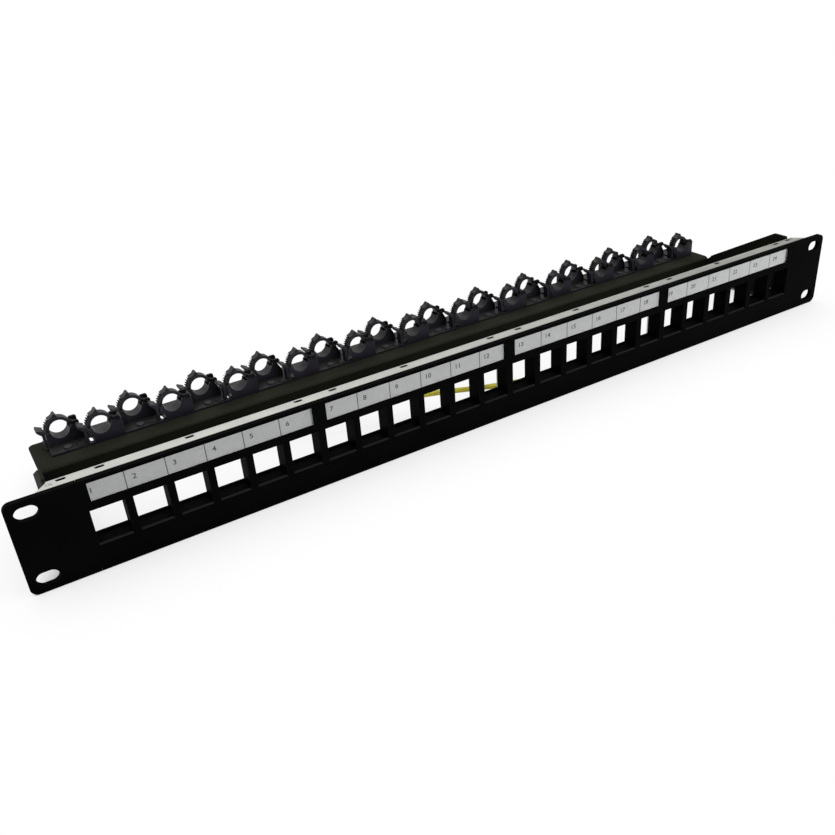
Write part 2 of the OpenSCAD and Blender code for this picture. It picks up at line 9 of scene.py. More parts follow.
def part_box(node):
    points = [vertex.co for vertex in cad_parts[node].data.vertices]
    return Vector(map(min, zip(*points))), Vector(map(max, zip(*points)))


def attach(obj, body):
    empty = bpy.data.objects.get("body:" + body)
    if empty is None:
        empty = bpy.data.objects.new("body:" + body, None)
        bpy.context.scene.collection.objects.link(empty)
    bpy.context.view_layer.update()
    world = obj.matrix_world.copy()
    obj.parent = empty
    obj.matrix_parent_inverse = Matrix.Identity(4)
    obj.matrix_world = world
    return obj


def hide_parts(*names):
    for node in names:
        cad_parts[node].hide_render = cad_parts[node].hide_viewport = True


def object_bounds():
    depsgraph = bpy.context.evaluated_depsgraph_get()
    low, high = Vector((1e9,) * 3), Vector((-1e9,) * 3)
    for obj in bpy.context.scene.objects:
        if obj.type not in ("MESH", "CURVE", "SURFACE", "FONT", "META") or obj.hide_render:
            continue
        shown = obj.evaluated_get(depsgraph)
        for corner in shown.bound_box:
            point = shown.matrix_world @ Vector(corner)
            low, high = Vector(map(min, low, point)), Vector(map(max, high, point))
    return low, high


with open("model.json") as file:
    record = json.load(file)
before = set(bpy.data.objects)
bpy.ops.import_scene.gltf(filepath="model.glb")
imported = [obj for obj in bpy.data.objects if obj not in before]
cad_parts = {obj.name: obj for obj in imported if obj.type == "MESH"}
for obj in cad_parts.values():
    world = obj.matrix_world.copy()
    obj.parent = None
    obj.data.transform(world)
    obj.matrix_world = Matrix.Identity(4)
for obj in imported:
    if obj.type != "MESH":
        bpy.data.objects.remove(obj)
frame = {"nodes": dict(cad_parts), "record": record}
nodes = frame["nodes"]
cad_low, cad_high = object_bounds()

# Camera: a normal lens, a little above the panel's left end, looking along the row of openings.
# Its place and turn were solved from the rack standard's sizes, so it needs no shift.
CAMERA_PLACE = Vector((-0.23838, -0.32563, 0.20343))
CAMERA_RIGHT = Vector((0.8496, -0.5231, -0.0682))
CAMERA_UP = Vector((0.3068, 0.3848, 0.8705))
CAMERA_LENS = 37.69
CAMERA_SENSOR = 36
CAMERA_NEAR = 0.01


def linked_piece(name, data):
    """A new object of the scene that shows the given data."""
    piece = bpy.data.objects.new(name, data)
    bpy.context.scene.collection.objects.link(piece)
    return piece


camera_data = bpy.data.cameras.new("camera")
camera_data.lens = CAMERA_LENS
camera_data.sensor_width = CAMERA_SENSOR
camera_data.clip_start = CAMERA_NEAR
camera = linked_piece("camera", camera_data)
camera_turn = Matrix((CAMERA_RIGHT, CAMERA_UP, CAMERA_RIGHT.cross(CAMERA_UP))).transposed()
camera.matrix_world = Matrix.Translation(CAMERA_PLACE) @ camera_turn.to_4x4()
bpy.context.scene.camera = camera

# Earth lead: one stranded copper wire in a yellow and green PVC sheath, crimped at both ends.
# It is bolted to the bracket's back plate on the left and to the frame near the middle.
LEAD_DIAMETER = 0.0028
LEAD_ROUTE = [
    (-0.158, 0.0653, -0.0165),
    (-0.153, 0.0653, -0.0165),
    (-0.144, 0.0626, -0.015),
    (-0.120, 0.054, -0.012),
    (-0.090, 0.045, -0.0108),
    (-0.060, 0.0355, -0.0104),
    (-0.0286, 0.0254, -0.0109),
    (-0.014, 0.0214, -0.0121),
    (0.0012, 0.0174, -0.0135),
    (0.0188, 0.0136, -0.0146),
    (0.030, 0.0106, -0.0156),
    (0.037, 0.0097, -0.016),
    (0.042, 0.0097, -0.016),
]
LEAD_STEPS = 10
LEAD_SIDES = 20
STRIPE_TURNS = 0.4
STRIPE_FROM = 0.68
SHEATH_YELLOW = (0.64, 0.57, 0.03)
SHEATH_YELLOW_DULL = (0.52, 0.46, 0.03)
SHEATH_GREEN = (0.03, 0.16, 0.02)


def smooth_route(points, steps):
    """Points on a smooth curve through all the given points."""
    route = [Vector(p) for p in points]
    before = 2 * route[0] - route[1]
    after = 2 * route[-1] - route[-2]
    ends = [before] + route + [after]
    line = []
    for i in range(len(route) - 1):
        a, b, c, d = ends[i:i + 4]
        for s in range(steps):
            t = s / steps
            line.append(0.5 * (
                2 * b + (c - a) * t + (2 * a - 5 * b + 4 * c - d) * t ** 2
                + (3 * b - a - 3 * c + d) * t ** 3
            ))
    return line + [route[-1]]


def finished_mesh(name, shape):
    """The mesh of a worked shape, which is freed."""
    mesh = bpy.data.meshes.new(name)
    shape.to_mesh(mesh)
    shape.free()
    return mesh


def sheathed_wire(name, line, radius, sides):
    """A round tube along a line, with a UV map that runs along it and around it."""
    shape = bmesh.new()
    uv = shape.loops.layers.uv.new("around")
    turns = [2 * math.pi * k / sides for k in range(sides)]
    rings = []
    for i, point in enumerate(line):
        heading = (line[min(i + 1, len(line) - 1)] - line[max(i - 1, 0)]).normalized()
        side = heading.cross(Vector((0, 0, 1))).normalized()
        up = side.cross(heading)
        rings.append([
            shape.verts.new(point + radius * (math.cos(a) * side + math.sin(a) * up))
            for a in turns
        ])
    for i in range(len(rings) - 1):
        for k in range(sides):
            n = (k + 1) % sides
            corners = [(i, k), (i, n), (i + 1, n), (i + 1, k)]
            face = shape.faces.new([rings[j][m] for j, m in corners])
            face.smooth = True
            rounds = [k, k + 1, k + 1, k]
            for loop, (j, _), m in zip(face.loops, corners, rounds):
                loop[uv].uv = (j / len(rings), m / sides)
    shape.faces.new(rings[0])
    shape.faces.new(reversed(rings[-1]))
    bmesh.ops.recalc_face_normals(shape, faces=shape.faces)
    return linked_piece(name, finished_mesh(name, shape))


def new_finish(name, colour, roughness, metallic=0.0, specular=0.5):
    """A material with its main shader set, and its tree and that shader for what is added."""
    finish = bpy.data.materials.new(name)
    finish.use_nodes = True
    tree = finish.node_tree
    shader = tree.nodes["Principled BSDF"]
    shader.inputs["Base Color"].default_value = (*colour, 1)
    shader.inputs["Roughness"].default_value = roughness
    shader.inputs["Metallic"].default_value = metallic
    shader.inputs["Specular IOR Level"].default_value = specular
    return finish, tree, shader


def grain(tree, scale, detail=3, stretch=(1, 1, 1)):
    """Noise in the piece's own coordinates; scale is in grains to the metre."""
    place = tree.nodes.new("ShaderNodeTexCoord")
    drawn = tree.nodes.new("ShaderNodeMapping")
    drawn.inputs["Scale"].default_value = stretch
    noise = tree.nodes.new("ShaderNodeTexNoise")
    noise.inputs["Scale"].default_value = scale
    noise.inputs["Detail"].default_value = detail
    tree.links.new(place.outputs["Object"], drawn.inputs["Vector"])
    tree.links.new(drawn.outputs["Vector"], noise.inputs["Vector"])
    return noise.outputs["Fac"]


def spread(tree, value, low=0, high=1, start=0.3, end=0.7):
    """The value's range from start to end, drawn out from low to high."""
    span = tree.nodes.new("ShaderNodeMapRange")
    span.inputs["From Min"].default_value = start
    span.inputs["From Max"].default_value = end
    span.inputs["To Min"].default_value = low
    span.inputs["To Max"].default_value = high
    tree.links.new(value, span.inputs["Value"])
    return span.outputs["Result"]


def mixed(tree, factor, first, second):
    """A colour between two, each a fixed colour or another node's."""
    mix = tree.nodes.new("ShaderNodeMix")
    mix.data_type = "RGBA"
    tree.links.new(factor, mix.inputs["Factor"])
    for place, colour in [("A", first), ("B", second)]:
        if isinstance(colour, tuple):
            mix.inputs[place].default_value = (*colour, 1)
        else:
            tree.links.new(colour, mix.inputs[place])
    return mix.outputs["Result"]


def worked_out(tree, operation, *terms):
    """The result of a sum, each term a number or another node's value."""
    node = tree.nodes.new("ShaderNodeMath")
    node.operation = operation
    for place, term in zip(node.inputs, terms):
        if isinstance(term, float):
            place.default_value = term
        else:
            tree.links.new(term, place)
    return node.outputs["Value"]


def split_up(tree, vector):
    """The three numbers of a place or a direction."""
    parts = tree.nodes.new("ShaderNodeSeparateXYZ")
    tree.links.new(vector, parts.inputs["Vector"])
    return parts.outputs


def soft_edges(tree, radius):
    """The surface's direction, rounded over its edges to a radius in metres."""
    soft = tree.nodes.new("ShaderNodeBevel")
    soft.samples = 4
    soft.inputs["Radius"].default_value = radius
    return soft.outputs["Normal"]


def relief(tree, shader, height, depth, strength, edge=None):
    """Surface relief of a given depth in metres, over edges softened to a radius in metres."""
    bump = tree.nodes.new("ShaderNodeBump")
    bump.inputs["Distance"].default_value = depth
    bump.inputs["Strength"].default_value = strength
    tree.links.new(height, bump.inputs["Height"])
    if edge:
        tree.links.new(soft_edges(tree, edge), bump.inputs["Normal"])
    tree.links.new(bump.outputs["Normal"], shader.inputs["Normal"])


sheath, tree, shader = new_finish("lead_sheath", SHEATH_YELLOW, roughness=0.42, specular=0.4)
around = tree.nodes.new("ShaderNodeUVMap")
around.uv_map = "around"
along = split_up(tree, around.outputs["UV"])
twist = worked_out(tree, "MULTIPLY_ADD", along["X"], STRIPE_TURNS, along["Y"])
stripe = worked_out(tree, "GREATER_THAN", worked_out(tree, "FRACT", twist), STRIPE_FROM)
fade = spread(tree, grain(tree, scale=260))
yellow = mixed(tree, fade, SHEATH_YELLOW, SHEATH_YELLOW_DULL)
tree.links.new(mixed(tree, stripe, yellow, SHEATH_GREEN), shader.inputs["Base Color"])
sheen = spread(tree, grain(tree, scale=900), low=0.36, high=0.5)
tree.links.new(sheen, shader.inputs["Roughness"])
relief(tree, shader, grain(tree, scale=1800), depth=0.00003, strength=0.5)

lead_line = smooth_route(LEAD_ROUTE, LEAD_STEPS)
lead = sheathed_wire("lead", lead_line, LEAD_DIAMETER / 2, LEAD_SIDES)
lead.data.materials.append(sheath)
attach(lead, "panel")
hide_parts("earth_lead")

# Lugs and screws: tinned copper ring lugs crimped on the lead, and zinc plated pan-head screws
# that hold the lugs, the bracket's feet, the frame and the ears together.
TINNED = (0.62, 0.62, 0.59)
TINNED_DULL = (0.5, 0.49, 0.45)
PLATED = (0.55, 0.55, 0.52)
PLATED_DULL = (0.47, 0.46, 0.41)


def dress(finish, *names):
    """Gives a finish to carried-over nodes."""
    for name in names:
        node = nodes[name]
        if not node.material_slots:
            node.data.materials.append(finish)
        for place in node.material_slots:
            place.material = finish


def bare_metal(name, colour, dull, roughness, scuffs):
    """Clouded and lightly scuffed metal, with a number of scuffs to the metre."""
    finish, tree, shader = new_finish(name, colour, roughness, metallic=1.0)
    cloud = spread(tree, grain(tree, scale=scuffs / 6))
    tree.links.new(mixed(tree, cloud, colour, dull), shader.inputs["Base Color"])
    scuff = grain(tree, scale=scuffs, detail=5)
    wear = spread(tree, scuff, low=roughness - 0.08, high=roughness + 0.1)
    tree.links.new(wear, shader.inputs["Roughness"])
    relief(tree, shader, grain(tree, scale=scuffs * 2), depth=0.00002, strength=0.4, edge=0.00015)
    return finish


tinned_copper = bare_metal("tinned_copper", TINNED, TINNED_DULL, roughness=0.34, scuffs=900)
dress(tinned_copper, "earth_lugs")
plated_steel = bare_metal("plated_steel", PLATED, PLATED_DULL, roughness=0.32, scuffs=1300)
dress(plated_steel, "bracket_screws", "earth_screws")

# Frame: bright zinc plated steel sheet, punched and folded to a channel. Its top flange shows
# along the whole panel; the rolling grain runs along it and the plating is faintly clouded.
ZINC = (0.5, 0.505, 0.465)
ZINC_CLOUD = (0.43, 0.435, 0.405)
ROLLING = (0.02, 1, 1)
zinc, tree, shader = new_finish("zinc_plate", ZINC, roughness=0.45, metallic=0.8)
cloud = spread(tree, grain(tree, scale=90, detail=4))
tree.links.new(mixed(tree, cloud, ZINC, ZINC_CLOUD), shader.inputs["Base Color"])
rolling = grain(tree, scale=900, detail=4, stretch=ROLLING)
tree.links.new(spread(tree, rolling, low=0.34, high=0.5), shader.inputs["Roughness"])
relief(tree, shader, rolling, depth=0.00002, strength=0.35, edge=0.0002)
dress(zinc, "frame")

# Ears and bezels: black injection-moulded plastic with a fine spark-eroded skin. The bezels snap
# into the frame with tabs; the ears are screwed on from behind. Their colour has painted
# highlights on edges and on faces that look forward and up, and painted shade in holes and
# corners.
BEZELS = 4
MOULD_BLACK = (0.0008, 0.0008, 0.0009)
MOULD_WORN = (0.0015, 0.0015, 0.0017)
MOULD_EDGE_HIGHLIGHT = (0.006, 0.006, 0.0065)
MOULD_PAINTED_SHADE = (0.0002, 0.0002, 0.0002)
MOULD_BEVEL_HIGHLIGHT = (0.012, 0.012, 0.0125)
BEVEL_FACING = (0, -0.707, 0.707)


def highlit_edges(tree, radius):
    """Mask for painted highlights: 1 along edges within a radius in metres, 0 on plain faces."""
    plain = tree.nodes.new("ShaderNodeNewGeometry")
    bend = tree.nodes.new("ShaderNodeVectorMath")
    bend.operation = "DOT_PRODUCT"
    tree.links.new(soft_edges(tree, radius), bend.inputs[0])
    tree.links.new(plain.outputs["Normal"], bend.inputs[1])
    return spread(tree, bend.outputs["Value"], low=1, high=0, start=0.75, end=0.98)


def open_to_light(tree, reach):
    """0 in deep corners and holes, 1 on open faces, as seen within a reach in metres."""
    around = tree.nodes.new("ShaderNodeAmbientOcclusion")
    around.samples = 8
    around.inputs["Distance"].default_value = reach
    return spread(tree, around.outputs["AO"], start=0.3, end=0.9)


def highlit_bevels(tree):
    """Mask for a painted highlight: 1 on faces that look forward and up, in the piece's own frame.
    """
    facing = tree.nodes.new("ShaderNodeTexCoord")
    slope = tree.nodes.new("ShaderNodeVectorMath")
    slope.operation = "DOT_PRODUCT"
    tree.links.new(facing.outputs["Normal"], slope.inputs[0])
    slope.inputs[1].default_value = BEVEL_FACING
    return spread(tree, slope.outputs["Value"], start=0.85, end=0.97)


moulding, tree, shader = new_finish("black_moulding", MOULD_BLACK, roughness=0.62, specular=0.012)
patch = spread(tree, grain(tree, scale=35, detail=5))
skin = mixed(tree, patch, MOULD_BLACK, MOULD_WORN)
# Painted highlight: edges are lightened.
skin = mixed(tree, highlit_edges(tree, radius=0.0004), skin, MOULD_EDGE_HIGHLIGHT)
# Painted shade: holes and deep corners are darkened to near black.
skin = mixed(tree, open_to_light(tree, reach=0.012), MOULD_PAINTED_SHADE, skin)
# Painted highlight: faces that look forward and up, such as the bevels at the openings, are
# lightened.
skin = mixed(tree, highlit_bevels(tree), skin, MOULD_BEVEL_HIGHLIGHT)
tree.links.new(skin, shader.inputs["Base Color"])
satin = spread(tree, grain(tree, scale=700), low=0.54, high=0.7)
tree.links.new(satin, shader.inputs["Roughness"])
spark = grain(tree, scale=3200, detail=2)
relief(tree, shader, spark, depth=0.00004, strength=0.5, edge=0.00025)
dress(moulding, "ear_left", "ear_right", *[f"bezel_{i}" for i in range(1, BEZELS + 1)])

# Number strips: pale printed card in the label recess, six cells with a plain number in each and
# a thin dark rule between cells. The card lies on the floor of the recess, behind the cover, and
# each print sits a little to one side of the middle, as in the photograph.
CELLS = 6
CELL_WIDTH = 0.0172
PRINT_SLIDE = (-0.0003, 0.0013, 0.0024, 0.0007)
CARD_LIFT = 0.00002
PRINT_LIFT = 0.00005
CARD_CORNER = 0.0005
CARD_CORNER_STEPS = 5
DIGIT_HEIGHT = 0.0024
DIGIT_STRETCH = 1.12
DIGIT_WEIGHT = 0.016
DIGIT_GAP = 0.003
DIGIT_CURVE_STEPS = 4
RULE_WIDTH = 0.0004
CARD_GREY = (0.6, 0.605, 0.605)
CARD_FIBRE = (0.54, 0.545, 0.54)
FIBRE_RUN = (0.4, 1, 1)
INK = (0.03, 0.03, 0.034)
INK_THIN = (0.07, 0.07, 0.075)


def card_strip(name, low, high, front):
    """Thin card with round corners, its front face at y = front."""
    shape = bmesh.new()
    outline = []
    corners = [
        (high.x, high.z, -1, -1, 0), (low.x, high.z, 1, -1, 90),
        (low.x, low.z, 1, 1, 180), (high.x, low.z, -1, 1, 270),
    ]
    for x, z, inward_x, inward_z, start in corners:
        middle = Vector((x + inward_x * CARD_CORNER, front, z + inward_z * CARD_CORNER))
        for k in range(CARD_CORNER_STEPS):
            a = math.radians(start + 90 * k / (CARD_CORNER_STEPS - 1))
            outline.append(middle + CARD_CORNER * Vector((math.cos(a), 0, math.sin(a))))
    face = shape.faces.new([shape.verts.new(p) for p in outline])
    raised = bmesh.ops.extrude_face_region(shape, geom=[face])["geom"]
    back = [v for v in raised if isinstance(v, bmesh.types.BMVert)]
    bmesh.ops.translate(shape, vec=(0, high.y - front, 0), verts=back)
    bmesh.ops.recalc_face_normals(shape, faces=shape.faces)
    return linked_piece(name, finished_mesh(name, shape))


def digit_mesh(text):
    """Outline of a number as a flat mesh, one unit high, from its left side."""
    words = bpy.data.curves.new("digits", "FONT")
    words.body = text
    words.offset = DIGIT_WEIGHT
    words.resolution_u = DIGIT_CURVE_STEPS
    holder = linked_piece("digits", words)
    bpy.context.view_layer.update()
    graph = bpy.context.evaluated_depsgraph_get()
    mesh = bpy.data.meshes.new_from_object(holder.evaluated_get(graph))
    bpy.data.objects.remove(holder)
    bpy.data.curves.remove(words)
    low = min(v.co.y for v in mesh.vertices)
    high = max(v.co.y for v in mesh.vertices)
    left = min(v.co.x for v in mesh.vertices)
    mesh.transform(Matrix.Translation((-left, -(low + high) / 2, 0)))
    mesh.transform(Matrix.Scale(1 / (high - low), 4))
    mesh.transform(Matrix.Diagonal((DIGIT_STRETCH, 1, 1, 1)))
    return mesh


def card_print(name, low, high, front, first, slide):
    """Numbers and rules of one strip, on the card's front."""
    shape = bmesh.new()
    start = (low.x + high.x - CELLS * CELL_WIDTH) / 2 + slide
    upright = Matrix.Rotation(math.pi / 2, 4, "X")
    middle_z = (low.z + high.z) / 2
    for k in range(CELLS):
        digits = digit_mesh(str(first + k))
        place = Vector((start + k * CELL_WIDTH + DIGIT_GAP, front, middle_z))
        digits.transform(Matrix.Translation(place) @ upright @ Matrix.Scale(DIGIT_HEIGHT, 4))
        shape.from_mesh(digits)
        bpy.data.meshes.remove(digits)
    for k in range(1, CELLS):
        left = start + k * CELL_WIDTH - RULE_WIDTH / 2
        right = left + RULE_WIDTH
        shape.faces.new([
            shape.verts.new((x, front, z))
            for x, z in [(left, low.z), (right, low.z), (right, high.z), (left, high.z)]
        ])
    return linked_piece(name, finished_mesh(name, shape))


card, tree, shader = new_finish("printed_card", CARD_GREY, roughness=0.7, specular=0.2)
fibre = grain(tree, scale=1400, detail=6, stretch=FIBRE_RUN)
pulp = mixed(tree, spread(tree, fibre), CARD_GREY, CARD_FIBRE)
tree.links.new(pulp, shader.inputs["Base Color"])
relief(tree, shader, fibre, depth=0.00001, strength=0.3)
ink, tree, shader = new_finish("print_ink", INK, roughness=0.6, specular=0.2)
blot = spread(tree, grain(tree, scale=2600, detail=4))
tree.links.new(mixed(tree, blot, INK, INK_THIN), shader.inputs["Base Color"])

for i in range(1, BEZELS + 1):
    low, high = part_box(f"label_{i}")
    strip = card_strip(f"number_card_{i}", low, high, low.y - CARD_LIFT)
    strip.data.materials.append(card)
    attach(strip, "panel")
    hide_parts(f"label_{i}")
    first = (i - 1) * CELLS + 1
    numbers = card_print(
        f"number_print_{i}", low, high, low.y - PRINT_LIFT, first, PRINT_SLIDE[i - 1]
    )
    numbers.data.materials.append(ink)
    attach(numbers, "panel")

# Label covers: clear polished plastic, snapped into the recess over the card, with a finger
# groove at the right end. Light passes straight through such a thin sheet; only its gloss shows.
COVER_TINT = (0.985, 0.99, 0.99)
COVER_IOR = 1.46
WHITE = (1, 1, 1)
cover, tree, gloss = new_finish("clear_cover", WHITE, roughness=0.5, metallic=1.0)
polish = spread(tree, grain(tree, scale=400, detail=4), low=0.07, high=0.16)
tree.links.new(polish, gloss.inputs["Roughness"])
relief(tree, gloss, grain(tree, scale=120), depth=0.00004, strength=0.3)
clear = tree.nodes.new("ShaderNodeBsdfTransparent")
clear.inputs["Color"].default_value = (*COVER_TINT, 1)
facing = tree.nodes.new("ShaderNodeFresnel")
facing.inputs["IOR"].default_value = COVER_IOR


def shown(tree, factor, first, second):
    """Shows one shader where the factor is 0 and another where it is 1."""
    blend = tree.nodes.new("ShaderNodeMixShader")
    tree.links.new(factor, blend.inputs["Fac"])
    tree.links.new(first, blend.inputs[1])
    tree.links.new(second, blend.inputs[2])
    tree.links.new(blend.outputs["Shader"], tree.nodes["Material Output"].inputs["Surface"])


shown(tree, facing.outputs["Fac"], clear.outputs["BSDF"], gloss.outputs["BSDF"])
dress(cover, *[f"label_cover_{i}" for i in range(1, BEZELS + 1)])

# Rear bracket: folded steel sheet, two arms with feet on the frame, a back plate and a tray. It is
# powder coated black, with the coat's fine orange peel, and painted light on what looks up.
COAT = (0.004, 0.004, 0.0028)
COAT_THIN = (0.006, 0.006, 0.0042)
COAT_TOP_LIGHT = (0.016, 0.016, 0.0115)
COAT_TOP_LIGHT_PALE = (0.022, 0.022, 0.016)


def painted_top_light(tree, sides, tops):
    """Painted top light: one colour on walls and another on what looks up, in the piece's own
    frame.
    """
    facing = tree.nodes.new("ShaderNodeTexCoord")
    upward = split_up(tree, facing.outputs["Normal"])["Z"]
    return mixed(tree, spread(tree, upward, start=0.15, end=0.9), sides, tops)


coat, tree, shader = new_finish("black_powder_coat", COAT, roughness=0.75, specular=0.04)
drift = spread(tree, grain(tree, scale=60, detail=5))
walls = mixed(tree, drift, COAT, COAT_THIN)
# Painted light: what looks up is lighter than the walls, as if lit from above.
tops = mixed(tree, drift, COAT_TOP_LIGHT, COAT_TOP_LIGHT_PALE)
tree.links.new(painted_top_light(tree, walls, tops), shader.inputs["Base Color"])
peel = grain(tree, scale=1100, detail=2)
tree.links.new(spread(tree, peel, low=0.66, high=0.84), shader.inputs["Roughness"])
relief(tree, shader, peel, depth=0.00006, strength=0.6, edge=0.0003)
dress(coat, "rear_bracket")

# Arm hems: strips of the bracket's coat along the inside of the arms' lower edges. They close
# the last two openings at the right to sight, so no floor shows there.
HEM_WIDTH = 0.0048
HEM_THICK = 0.0008
HEM_SINK = 0.0003
HEM_FRONT, HEM_REAR = 0.0145, 0.0665
bracket_low, bracket_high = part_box("rear_bracket")
hem_shape = bmesh.new()
for inward, outside in [(1, bracket_low.x), (-1, bracket_high.x)]:
    middle = Vector((
        outside + inward * (HEM_SINK + HEM_WIDTH / 2),
        (HEM_FRONT + HEM_REAR) / 2,
        bracket_low.z + HEM_SINK + HEM_THICK / 2,
    ))
    block = Matrix.Diagonal((HEM_WIDTH, HEM_REAR - HEM_FRONT, HEM_THICK, 1))
    bmesh.ops.create_cube(hem_shape, size=1, matrix=Matrix.Translation(middle) @ block)
hems = linked_piece("arm_hems", finished_mesh("arm_hems", hem_shape))
hems.data.materials.append(coat)
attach(hems, "panel")

# Clip strips: dark grey moulded nylon. Six saddles with catch arms are one moulding with their
# strip, which push rivets hold on the tray.
NYLON = (0.012, 0.0105, 0.016)
NYLON_PALE = (0.018, 0.0165, 0.024)
NYLON_TOP_LIGHT = (0.018, 0.0185, 0.0178)
NYLON_TOP_LIGHT_PALE = (0.026, 0.0265, 0.0248)
NYLON_EDGE_HIGHLIGHT = (0.06, 0.06, 0.06)
NYLON_PAINTED_SHADE = (0.004, 0.0036, 0.005)


def nylon(name, roughness):
    """Moulded nylon with painted light on top, painted highlights on edges and painted shade in
    corners.
    """
    finish, tree, shader = new_finish(name, NYLON, roughness, specular=0.15)
    flow = spread(tree, grain(tree, scale=120, detail=4))
    walls = mixed(tree, flow, NYLON, NYLON_PALE)
    # Painted light: what looks up is lighter than the walls.
    tops = mixed(tree, flow, NYLON_TOP_LIGHT, NYLON_TOP_LIGHT_PALE)
    body = painted_top_light(tree, walls, tops)
    # Painted highlight: edges are lightened to a pale grey.
    body = mixed(tree, highlit_edges(tree, radius=0.0003), body, NYLON_EDGE_HIGHLIGHT)
    # Painted shade: corners and holes are darkened.
    body = mixed(tree, open_to_light(tree, reach=0.005), NYLON_PAINTED_SHADE, body)
    tree.links.new(body, shader.inputs["Base Color"])
    skin = grain(tree, scale=1600)
    satin = spread(tree, skin, low=roughness - 0.07, high=roughness + 0.09)
    tree.links.new(satin, shader.inputs["Roughness"])
    relief(tree, shader, skin, depth=0.00003, strength=0.5, edge=0.0002)
    return finish


strip_nylon = nylon("strip_nylon", roughness=0.42)
dress(strip_nylon, *[f"clip_strip_{i}" for i in range(1, BEZELS + 1)])

# Jaws: each is a nylon moulding of its own, snapped by its pins between the cheeks of a saddle. It
# is a round band with coarse ratchet teeth on its left flank, a thumb grip, a neck and a knuckle.
# Sizes are about the clip's middle, which the hinge gives; turns are in degrees from the right.
CLIPS = BEZELS * CELLS
HINGE_FROM_MIDDLE = Vector((0.0066, 0, 0.0002))
JAW_DEPTH = 0.0038
BORE_RADIUS = 0.0045
BAND_RADIUS = 0.00605
BAND_ROOT = BAND_RADIUS - 0.0002
BAND_FROM, BAND_TO = 8, 180
BAND_STEPS = 40
FIRST_TOOTH, TOOTH_STEP, TEETH = 133, 11, 4
TOOTH = [(BAND_ROOT, 0), (0.00695, 0.6), (0.00695, 2.2), (BAND_ROOT, 7)]
GRIP = [
    (BAND_ROOT, 82), (0.0079, 91), (0.0081, 94), (0.0080, 98),
    (0.0070, 107), (0.0071, 127), (BAND_ROOT, 133),
]
NECK_LAP = 0.0001
NECK_INSIDE, NECK_OUTSIDE = 10, 30
KNUCKLE_RADIUS = 0.00115
PIN_RADIUS = 0.0007
PIN_LENGTH = 0.0068
PIN_SIDES = 24
SHARP_CORNER = 24


def polar(radius, degrees):
    """A point of a clip's front view, by its distance and turn about the middle."""
    a = math.radians(degrees)
    return Vector((radius * math.cos(a), radius * math.sin(a)))


def add_prism(shape, outline, depth):
    """A solid of an outline seen from the front, evenly deep to both sides of the middle."""
    front = [shape.verts.new((x, -depth / 2, z)) for x, z in outline]
    back = [shape.verts.new((x, depth / 2, z)) for x, z in outline]
    shape.faces.new(front)
    shape.faces.new(reversed(back))
    for i in range(len(outline)):
        j = (i + 1) % len(outline)
        shape.faces.new((front[j], front[i], back[i], back[j]))


def jaw_shape(name):
    """A jaw's mesh, about the middle of its clip."""
    shape = bmesh.new()
    turns = [BAND_FROM + (BAND_TO - BAND_FROM) * k / BAND_STEPS for k in range(BAND_STEPS + 1)]
    outer = [polar(BAND_RADIUS, a) for a in turns]
    inner = [polar(BORE_RADIUS, a) for a in reversed(turns)]
    add_prism(shape, outer + inner, JAW_DEPTH)
    for k in range(TEETH):
        start = FIRST_TOOTH + k * TOOTH_STEP
        add_prism(shape, [polar(radius, start + a) for radius, a in TOOTH], JAW_DEPTH)
    add_prism(shape, [polar(radius, a) for radius, a in GRIP], JAW_DEPTH)
    hinge = Vector((HINGE_FROM_MIDDLE.x, HINGE_FROM_MIDDLE.z))
    neck = [
        polar(BORE_RADIUS + NECK_LAP, NECK_INSIDE),
        hinge,
        hinge + Vector((0, KNUCKLE_RADIUS)),
        polar(BAND_RADIUS - NECK_LAP, NECK_OUTSIDE),
    ]
    add_prism(shape, neck, JAW_DEPTH)
    for radius, length in [(KNUCKLE_RADIUS, JAW_DEPTH), (PIN_RADIUS, PIN_LENGTH)]:
        rounds = [hinge + polar(radius, 360 * k / PIN_SIDES) for k in range(PIN_SIDES)]
        add_prism(shape, rounds, length)
    bmesh.ops.recalc_face_normals(shape, faces=shape.faces)
    mesh = finished_mesh(name, shape)
    mesh.polygons.foreach_set("use_smooth", [True] * len(mesh.polygons))
    mesh.set_sharp_from_angle(angle=math.radians(SHARP_CORNER))
    return mesh


jaw_mesh = jaw_shape("jaw")
jaw_mesh.materials.append(nylon("jaw_nylon", roughness=0.38))
joints = frame["record"]["behaviour"]["joints"]
hinges = {joint["name"]: Vector(joint["pos_m"]) for joint in joints}
middles = [hinges[f"clip_{n}_hinge"] - HINGE_FROM_MIDDLE for n in range(1, CLIPS + 1)]
for n in range(1, CLIPS + 1):
    jaw = linked_piece(f"jaw_{n}", jaw_mesh)
    jaw.location = middles[n - 1]
    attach(jaw, f"jaw_{n}")
    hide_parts(f"clip_jaw_{n}")

# Saddle shoulders: the saddles stand out to the left, close to their catch arms, which stay free
# to bend. They belong to the same moulding as the strips and are short in the front row, where
# the slots in the base stay open below them.
SHOULDER = [(-0.0068, -0.00785), (-0.0042, -0.00785), (-0.0058, -0.0005), (-0.0068, -0.0005)]
SHORT_SHOULDER = [(-0.0068, -0.0042), (-0.0052, -0.0042), (-0.0058, -0.0005), (-0.0068, -0.0005)]
CLIP_DEPTH = 0.007


def clip_detail(name, outline, depth, places, finish):
    """One piece of like solids, an outline seen from the front at each of the places."""
    shape = bmesh.new()
    for place in places:
        add_prism(shape, outline, depth)
        shape.verts.ensure_lookup_table()
        bmesh.ops.translate(shape, vec=place, verts=shape.verts[-2 * len(outline):])
    bmesh.ops.recalc_face_normals(shape, faces=shape.faces)
    piece = linked_piece(name, finished_mesh(name, shape))
    piece.data.materials.append(finish)
    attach(piece, "panel")


clip_detail("rear_shoulders", SHOULDER, CLIP_DEPTH, middles[::2], strip_nylon)
clip_detail("front_shoulders", SHORT_SHOULDER, CLIP_DEPTH, middles[1::2], strip_nylon)

